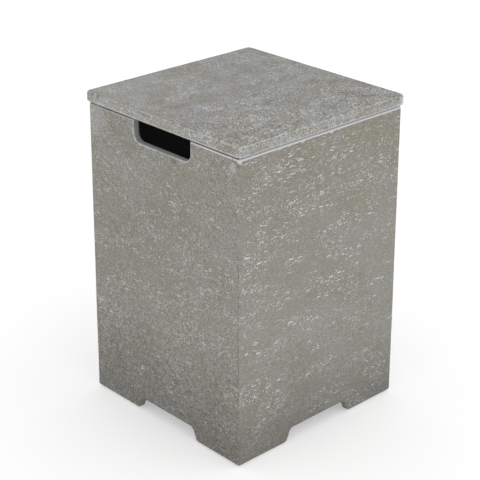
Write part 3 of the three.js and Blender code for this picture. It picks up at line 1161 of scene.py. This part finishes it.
def body_marks(graph, place, on_side, height, upper):
    """Pale marks of the body, which differ from wall to wall and with height."""
    return graph.group(PALE_MARKS, {
        "Place": place,
        "Clusters": BODY_CLUSTER_SCALE,
        "Plain": graph.between(on_side, graph.between(upper, *FRONT_PLAINS), SIDE_PLAIN),
        "Dense": graph.between(on_side, FRONT_DENSE, SIDE_DENSE),
        "Between rows": graph.between(on_side, FRONT_BETWEEN_ROWS, SIDE_BETWEEN_ROWS),
        "Dots": graph.between(on_side, graph.between(upper, *FRONT_DOTS), SIDE_DOTS),
        "Dashes": BODY_DASHES,
        "Worms": graph.between(on_side, FRONT_WORMS, graph.smooth(height, *SIDE_WORM_SPAN, *SIDE_WORMS)),
    })


def body_concrete():
    material, graph, shader = new_material("body_concrete")
    here = graph.add("ShaderNodeTexCoord").outputs["Object"]
    parts = graph.add("ShaderNodeSeparateXYZ", {0: here}).outputs
    place = graph.group(MOULD_PLACE, {"Squeeze": BODY_SQUEEZE, "Bend": STONE_BEND})
    from_middle = [graph.maths("ABSOLUTE", part) for part in (parts[0], parts[1])]
    on_side = graph.smooth(graph.less(*from_middle), -MM, MM)
    depth = depth_from(graph, parts, graph.maths("MAXIMUM", *from_middle))
    height = graph.plus(parts[2], graph.times(graph.noise(place, *HEIGHT_NOISE), HEIGHT_UNEVEN))
    side_mottling = graph.smooth(height, *SIDE_MOTTLING_SPAN, *SIDE_MOTTLINGS)
    cement = graph.group(CLOUDY_STONE, {
        "Place": place,
        "Warm": BODY_WARM,
        "Cool": BODY_COOL,
        "Clouds": BODY_CLOUD_SCALE,
        "Mottling": graph.between(on_side, FRONT_MOTTLING, side_mottling),
    })
    upper = graph.smooth(height, *UPPER_SPAN)
    upper_front = graph.times(upper, graph.less(1.0, on_side))
    cement = graph.mixed(graph.times(upper_front, UPPER_OLIVE), cement, OLIVE)
    cement = spotted(graph, here, cement, BODY_CLOUDS)
    marks = body_marks(graph, place, on_side, height, upper)
    colour, pits = stone_colour(graph, place, cement, marks, BODY_PIT_SHARE)
    arris = graph.group(WORN_ARRIS, {"Place": place, "Width": BODY_ARRIS_WIDTH})
    colour = opening_colours(graph, parts, on_side, depth, arris, colour)
    colour = mould_seam(graph, place, parts, on_side, colour)
    # Painted shade: the walls darken towards the ground, standing in for less light near the floor
    foot = graph.fading(height, 0.0, graph.between(on_side, FRONT_FOOT_HEIGHT, SIDE_FOOT_HEIGHT))
    colour = graph.mixed(graph.maths("POWER", foot, FOOT_FALL), colour, FOOT_SHADE, "MULTIPLY")
    colour = rim_colours(graph, place, parts, on_side, depth, colour)
    colour = spotted(graph, here, colour, BODY_SPOTS)
    # Painted shade: the inner faces are near black, standing in for the shade inside the hollow body
    inner = graph.add("ShaderNodeAttribute", attribute_name="inner_face").outputs["Fac"]
    colour = graph.mixed(inner, colour, INNER_SHADE_COLOUR)
    stone_shader(graph, shader, place, colour, marks, pits)
    return material


def slab_concrete():
    material, graph, shader = new_material("slab_concrete")
    here = graph.add("ShaderNodeTexCoord").outputs["Object"]
    parts = graph.add("ShaderNodeSeparateXYZ", {0: here}).outputs
    place = graph.group(MOULD_PLACE, {"Squeeze": SLAB_SQUEEZE, "Bend": STONE_BEND})
    forward = graph.fading(parts[1], *FORWARD_SPAN)
    band = graph.fading(parts[2], *BAND_SPAN)
    coarse = graph.maths("MAXIMUM", forward, graph.times(band, BAND_COARSENESS))
    cement = graph.group(CLOUDY_STONE, {
        "Place": place,
        "Warm": SLAB_WARM,
        "Cool": SLAB_COOL,
        "Clouds": SLAB_CLOUD_SCALE,
        "Mottling": graph.between(coarse, *SLAB_MOTTLINGS),
    })
    marks = graph.group(PALE_MARKS, {
        "Place": place,
        "Clusters": SLAB_CLUSTER_SCALE,
        "Plain": SLAB_PLAIN,
        "Dense": 1.0,
        "Between rows": 1.0,
        "Dots": graph.between(forward, *SLAB_DOTS),
        "Dashes": SLAB_DASHES,
        "Worms": graph.between(coarse, *SLAB_WORMS),
    })
    colour, pits = stone_colour(graph, place, cement, marks, SLAB_PIT_SHARE)
    blotches = graph.smooth(graph.noise(place, *BROWN_NOISE), *BROWN_SPAN)
    colour = graph.mixed(graph.times(graph.times(blotches, coarse), BROWN_STRENGTH), colour, BROWN)
    colour = graph.mixed(band, colour, BAND_TINT, "MULTIPLY")
    arris_width = graph.between(graph.fading(parts[2], *LOW_EDGE_SPAN), *SLAB_ARRIS_WIDTHS)
    arris = graph.group(WORN_ARRIS, {"Place": place, "Width": arris_width})
    colour = graph.mixed(graph.times(arris, SLAB_ARRIS_STRENGTH), colour, SLAB_ARRIS)
    colour = spotted(graph, here, colour, SLAB_SPOTS)
    stone_shader(graph, shader, place, colour, marks, pits)
    return material


def small_finish(name, pattern, span, colours, roughness, grain, relief, metallic):
    """Material of a small piece: two tones in patches, each with its own roughness, and a fine grain."""
    material, graph, shader = new_material(name)
    place = graph.group(MOULD_PLACE, {"Squeeze": 1.0, "Bend": SMALL_BEND})
    patches = graph.smooth(graph.noise(place, *pattern), *span)
    graph.link(graph.mixed(patches, *colours), shader.inputs["Base Color"])
    shader.inputs["Metallic"].default_value = metallic
    graph.link(graph.between(patches, *roughness), shader.inputs["Roughness"])
    bumped(graph, shader, graph.noise(place, *grain), relief)
    return material


# Pieces

def placed(piece, body, nodes):
    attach(piece, body)
    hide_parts(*nodes)


def four(kind):
    return [kind + "_" + corner for corner in CORNERS]


body = body_cast()
body.data.materials.append(body_concrete())
placed(body, "body", ["body_shell"])
slab = slab_cast()
slab.data.materials.append(slab_concrete())
placed(slab, "lid", ["lid_slab"])

corner_nodes = corner_tree()
black_rubber = small_finish("moulded_rubber", **RUBBER)
lid_disc = disc("lid_pad", DISC_EDGE)
lid_discs = at_corners(corner_nodes, lid_disc, "lid_discs", "lid_pad", black_rubber)
placed(lid_discs, "lid", four("lid_pad"))
bumpers = at_corners(corner_nodes, bumper(), "bumpers", "lid_locator", black_rubber)
placed(bumpers, "lid", four("lid_locator"))
zinc = small_finish("zinc_plated_steel", **ZINC)
screws = at_corners(corner_nodes, screw(), "bumper_screws", "locator_screw", zinc, SCREW_TURN_SEED)
placed(screws, "lid", four("locator_screw"))
foot_disc = disc("foot_pad", FOOT_DISC_EDGE)
foot_discs = at_corners(corner_nodes, foot_disc, "foot_discs", "foot_pad", black_rubber)
placed(foot_discs, "body", four("foot_pad"))

brass = small_finish("dull_brass", **BRASS)
for name in four("lid_insert"):
    bpy.data.objects[name].material_slots[0].material = brass


# Stage, light and camera

FLOOR_SIZE = 40
FLOOR_COLOUR = (0.6, 0.6, 0.6, 1)
FLOOR_GLOW = 0.4
FLOOR_ROUGHNESS = 0.9
WHITE = (1, 1, 1, 1)
WORLD_STRENGTH = 1.0
KEY_STRENGTH = 0.44
KEY_SPREAD = math.radians(80)
KEY_FROM = (0.35, -0.75, 0.56)

# Camera, with its angles in radians, aimed to the right of and above a point on the table's axis
FOCAL_PIXELS = 1420.28
FRAME_PIXELS = 480
SENSOR = 36
AZIMUTH = -0.75324
ELEVATION = 0.42303
ROLL = 0.00224
DISTANCE = 2.62325
AIM = (-0.00794, 0.01092)
AIM_HEIGHT = 0.30037
FAR = 100


def floor():
    bm = bmesh.new()
    bmesh.ops.create_grid(bm, x_segments=1, y_segments=1, size=FLOOR_SIZE / 2)
    obj = as_object(bm, "floor")
    material, graph, shader = new_material("floor_white")
    shader.inputs["Base Color"].default_value = FLOOR_COLOUR
    shader.inputs["Emission Color"].default_value = WHITE
    shader.inputs["Emission Strength"].default_value = FLOOR_GLOW
    shader.inputs["Roughness"].default_value = FLOOR_ROUGHNESS
    obj.data.materials.append(material)


def studio_light():
    sky = bpy.data.worlds.new("studio")
    sky.use_nodes = True
    background = sky.node_tree.nodes["Background"]
    background.inputs["Color"].default_value = WHITE
    background.inputs["Strength"].default_value = WORLD_STRENGTH
    bpy.context.scene.world = sky
    lamp = bpy.data.lights.new("key", "SUN")
    lamp.energy = KEY_STRENGTH
    lamp.angle = KEY_SPREAD
    obj = bpy.data.objects.new("key", lamp)
    obj.rotation_euler = Vector(KEY_FROM).to_track_quat("Z", "Y").to_euler()
    bpy.context.scene.collection.objects.link(obj)


def camera():
    """Camera at the front left corner, a little above the table."""
    right = Vector((math.cos(AZIMUTH), math.sin(AZIMUTH), 0))
    level = math.cos(ELEVATION)
    back = Vector((math.sin(AZIMUTH) * level, -math.cos(AZIMUTH) * level, math.sin(ELEVATION)))
    up = back.cross(right)
    turned_right = math.cos(ROLL) * right + math.sin(ROLL) * up
    turned_up = math.cos(ROLL) * up - math.sin(ROLL) * right
    place = AIM[0] * right + AIM[1] * up + Vector((0, 0, AIM_HEIGHT)) + DISTANCE * back
    data = bpy.data.cameras.new("camera")
    data.sensor_width = SENSOR
    data.lens = FOCAL_PIXELS * SENSOR / FRAME_PIXELS
    data.clip_end = FAR
    obj = bpy.data.objects.new("camera", data)
    rotation = Matrix((turned_right, turned_up, back)).transposed()
    obj.matrix_world = Matrix.Translation(place) @ rotation.to_4x4()
    bpy.context.scene.collection.objects.link(obj)
    bpy.context.scene.camera = obj


floor()
studio_light()
camera()
bpy.context.scene.view_settings.view_transform = "Standard"
